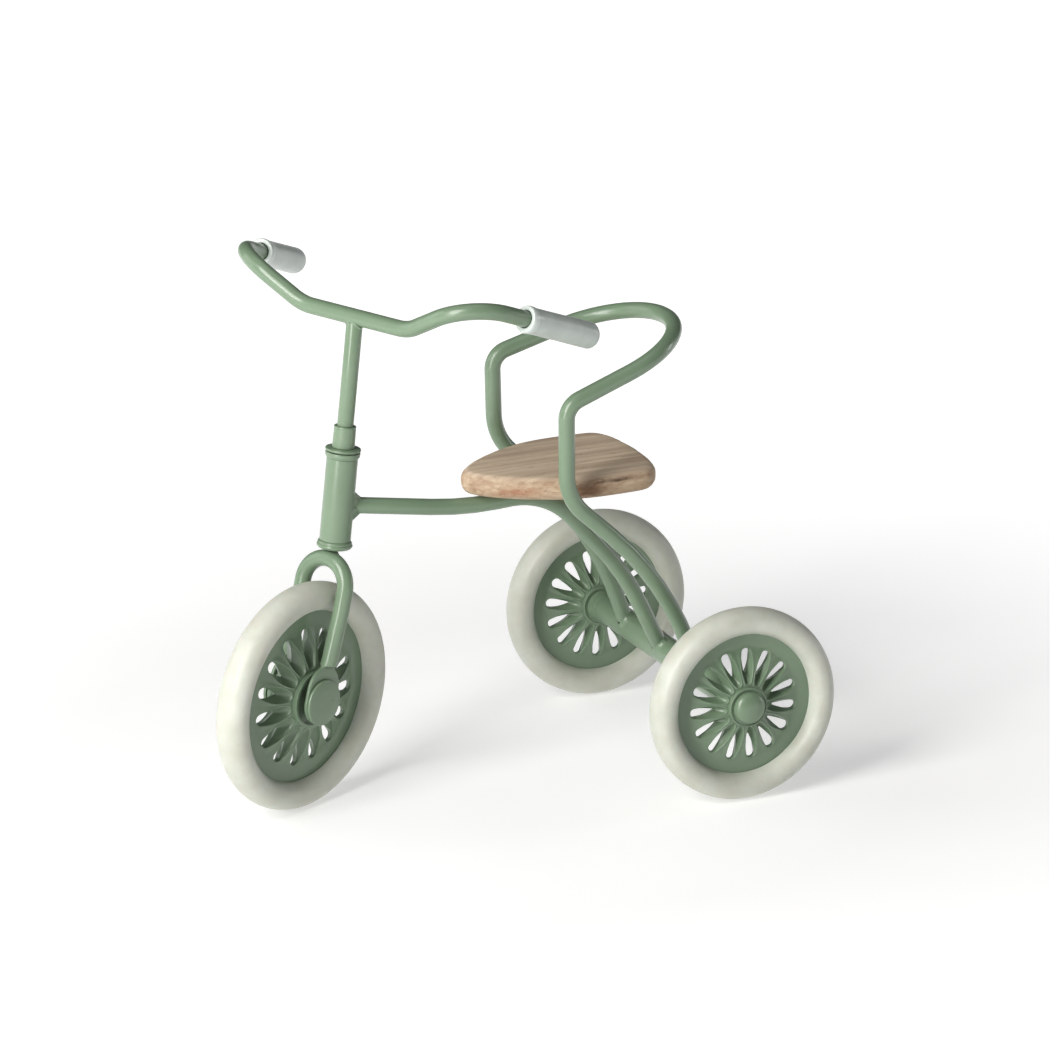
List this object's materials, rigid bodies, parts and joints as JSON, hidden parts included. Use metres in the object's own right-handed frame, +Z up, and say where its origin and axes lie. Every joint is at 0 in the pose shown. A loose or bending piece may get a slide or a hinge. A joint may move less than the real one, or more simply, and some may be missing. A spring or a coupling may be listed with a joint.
{
  "type": "miniature tricycle",
  "caption": "Small bent-wire tricycle with a wooden seat, a backrest hoop, a steered front wheel and three slotted disc wheels with pale tyres.",
  "frame": {"origin": "on the ground, under the centre of the part's box", "axes": "+Z up; the front is towards -X and the rider's left towards -Y; the steering is stored turned to the rider's left"},
  "size_m": [0.111, 0.081, 0.0991],
  "materials": {
    "enamel": "glossy sage-green enamel on steel",
    "tyre": "satin cream",
    "grip": "translucent grey-white, satin",
    "seat": "fine-grained, lightly sanded",
    "steel": "bare steel, hidden inside other pieces"
  },
  "bodies": {
    "frame": {"main_tube": "enamel", "backrest_hoop": "enamel", "seat_board": "seat", "seat_pin_front": "steel", "seat_pin_rear": "steel", "rear_axle_tube": "enamel", "rear_axle_rod": "steel", "rear_collar_left": "enamel", "rear_collar_right": "enamel", "rear_hub_cap_left": "enamel", "rear_hub_cap_right": "enamel", "head_tube": "enamel", "head_cup_top": "enamel", "head_cup_bottom": "enamel"},
    "steering": {"handlebar": "enamel", "grip_left": "grip", "grip_right": "grip", "stem_tube": "enamel", "stem_ferrule": "enamel", "stem_washer": "enamel", "steerer_pin": "steel", "fork": "enamel", "front_axle_rod": "steel", "front_axle_cap_left": "enamel", "front_axle_cap_right": "enamel"},
    "front_wheel": {"front_wheel_disc": "enamel", "front_tyre": "tyre"},
    "rear_left_wheel": {"rear_left_wheel_disc": "enamel", "rear_left_tyre": "tyre"},
    "rear_right_wheel": {"rear_right_wheel_disc": "enamel", "rear_right_tyre": "tyre"}
  },
  "joints": [
    {"name": "steer", "type": "hinge", "parent": "frame", "child": "steering", "pos_m": [-0.02302, -0.00326, 0.0902], "axis": [0.1184, 0, 0.993], "continuous": true},
    {"name": "front_wheel_spin", "type": "hinge", "parent": "steering", "child": "front_wheel", "pos_m": [-0.03608, -0.00572, 0.02123], "axis": [-0.4523, 0.8902, 0.0539], "continuous": true},
    {"name": "rear_left_wheel_spin", "type": "hinge", "parent": "frame", "child": "rear_left_wheel", "pos_m": [0.03747, -0.03556, 0.018], "axis": [0, 1, 0], "continuous": true},
    {"name": "rear_right_wheel_spin", "type": "hinge", "parent": "frame", "child": "rear_right_wheel", "pos_m": [0.03747, 0.02904, 0.018], "axis": [0, 1, 0], "continuous": true}
  ]
}
